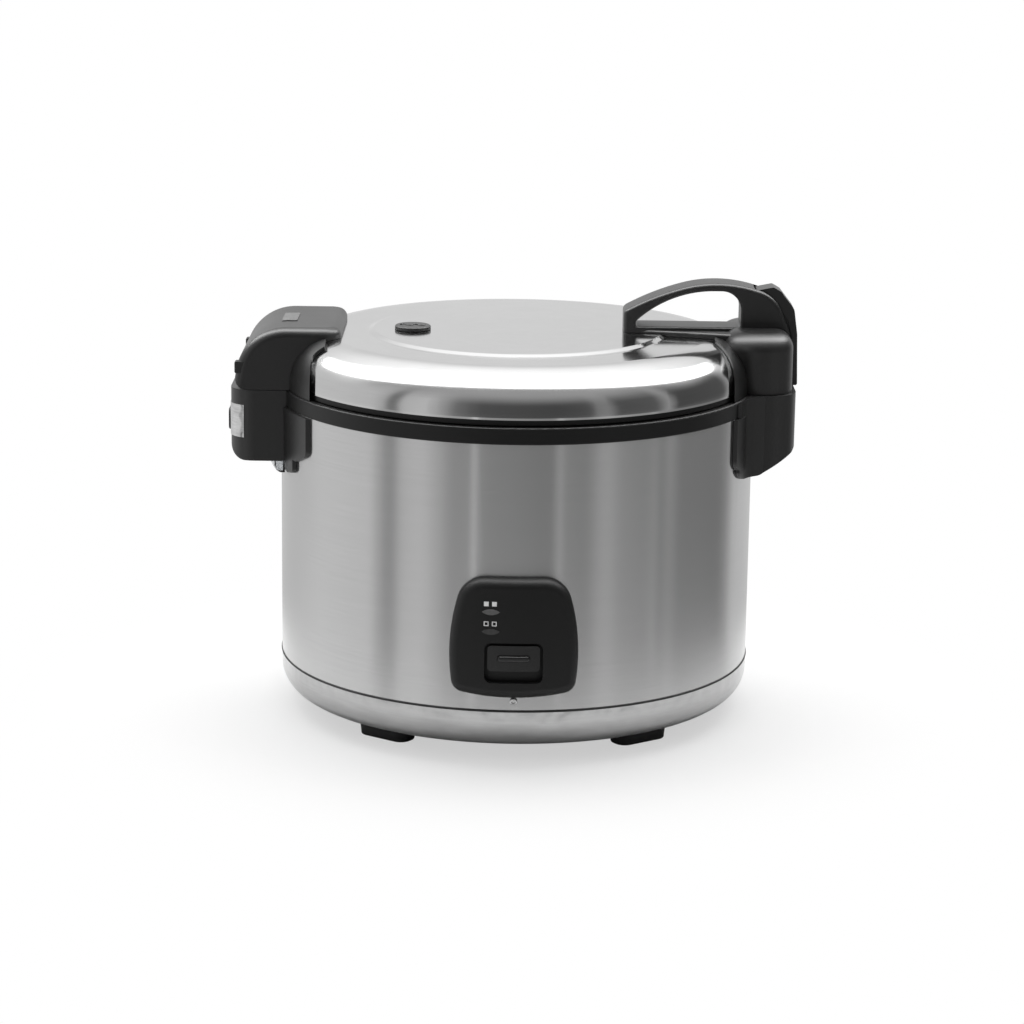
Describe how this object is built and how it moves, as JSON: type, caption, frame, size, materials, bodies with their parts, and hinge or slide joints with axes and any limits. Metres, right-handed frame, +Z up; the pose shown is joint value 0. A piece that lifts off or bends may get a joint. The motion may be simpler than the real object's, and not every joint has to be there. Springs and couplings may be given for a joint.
{
  "type": "rice cooker",
  "caption": "Large drum-shaped rice cooker: brushed steel wall, hinged polished lid with an arched latch handle, steam cap, and a small front panel with a press-down cook switch.",
  "frame": {"origin": "on the floor under the axis of the drum", "axes": "+X from the hinge to the latch, -Y towards the front with the switch panel, +Z up along the axis of the drum"},
  "size_m": [0.4438, 0.3877, 0.3396],
  "materials": {
    "brushed_steel": "fine vertical brushing",
    "polished_steel": "polished",
    "plain_steel": "plain sheet",
    "fastener_steel": "zinc plated",
    "spring_steel": "bright wire",
    "bright_band": "polished",
    "bare_plate": "satin",
    "black_plastic": "satin moulded",
    "lever_black": "satin moulded",
    "black_rubber": "matte",
    "seal_rubber": "soft matte",
    "pot_aluminium": "satin",
    "heater_tube": "heat darkened",
    "pad_fibre": "felted",
    "white_moulding": "matte",
    "wire_insulation": "matte",
    "inlet_brass": "plain",
    "lamp_lens": "frosted",
    "lamp_glass": "clear",
    "clear_cup": "clear moulding"
  },
  "bodies": {
    "base": {"body_shell": "brushed_steel", "base_ring": "polished_steel", "bottom_plate": "plain_steel", "inner_liner": "plain_steel", "sensor_bracket": "plain_steel", "lever_bracket": "plain_steel", "latch_keeper": "plain_steel", "warm_band": "plain_steel", "plate_posts": "plain_steel", "foot_screws": "fastener_steel", "panel_screw": "fastener_steel", "housing_screws": "fastener_steel", "hinge_pin": "fastener_steel", "lever_pin": "fastener_steel", "sensor_spring": "spring_steel", "hinge_band": "bright_band", "collar_ring": "black_plastic", "hinge_housing": "black_plastic", "latch_housing": "black_plastic", "control_panel": "black_plastic", "power_inlet": "black_plastic", "micro_switch": "black_plastic", "foot_front_left": "black_rubber", "foot_front_right": "black_rubber", "foot_rear_left": "black_rubber", "foot_rear_right": "black_rubber", "end_pad": "black_rubber", "heating_plate": "pot_aluminium", "heater_tube": "heater_tube", "lamp_holder": "white_moulding", "thermal_fuse": "white_moulding", "terminal_block": "white_moulding", "wiring": "wire_insulation", "inlet_pins": "inlet_brass", "lens_cook": "lamp_lens", "lens_warm": "lamp_lens", "neon_lamps": "lamp_glass"},
    "lid": {"lid_shell": "polished_steel", "lid_trim_ring": "black_plastic", "lid_screws": "fastener_steel", "inner_lid": "pot_aluminium", "lid_gasket": "seal_rubber", "lid_insulation": "pad_fibre", "lid_stud": "fastener_steel", "inner_lid_grommet": "black_rubber", "vent_tube": "black_plastic", "hinge_cover": "black_plastic", "cover_plate": "bare_plate", "cover_bumpers": "black_rubber", "lid_handle": "black_plastic", "latch_pin": "fastener_steel", "latch_spring": "spring_steel"},
    "latch": {"latch_lever": "lever_black"},
    "steam_cap": {"vent_cap": "black_plastic"},
    "pot": {"inner_pot": "pot_aluminium"},
    "switch": {"switch_lever": "lever_black"},
    "magnet": {"magnet_plunger": "fastener_steel"},
    "thermostat": {"sensor_cap": "pot_aluminium", "sensor_ferrite": "fastener_steel"},
    "cup": {"dew_cup": "clear_cup"}
  },
  "joints": [
    {"name": "lid_hinge", "type": "hinge", "parent": "base", "child": "lid", "pos_m": [-0.2085, 0, 0.2678], "axis": [0, -1, 0], "range_deg": [0, 90]},
    {"name": "latch_pivot", "type": "hinge", "parent": "lid", "child": "latch", "pos_m": [0.19, 0, 0.318], "axis": [0, -1, 0], "range_deg": [0, 3.5], "stiffness_Nm_per_rad": 2, "springref_deg": -2.86, "deforming": ["latch_spring"]},
    {"name": "steam_cap_lift", "type": "slide", "parent": "lid", "child": "steam_cap", "axis": [0, 0, 1], "range_m": [0, 0.03]},
    {"name": "pot_turn", "type": "hinge", "parent": "base", "child": "pot", "pos_m": [0, 0, 0.072], "axis": [0, 0, 1], "continuous": true},
    {"name": "cook_switch", "type": "hinge", "parent": "base", "child": "switch", "pos_m": [0, -0.07, 0.027], "axis": [1, 0, 0], "range_deg": [0, 3.6], "stiffness_Nm_per_rad": 4, "springref_deg": -2.86},
    {"name": "magnet_lift", "type": "slide", "parent": "base", "child": "magnet", "axis": [0, 0, 1], "range_m": [0, 0.0045]},
    {"name": "thermostat_press", "type": "slide", "parent": "base", "child": "thermostat", "axis": [0, 0, -1], "range_m": [0, 0.003], "stiffness_N_per_m": 400, "springref_m": -0.004, "deforming": ["sensor_spring"]},
    {"name": "dew_cup_slide", "type": "slide", "parent": "base", "child": "cup", "axis": [0, 0, -1], "range_m": [0, 0.06]}
  ],
  "couplings": [
    {"joint": "magnet_lift", "follows": "cook_switch", "m_per_rad": 0.07}
  ]
}
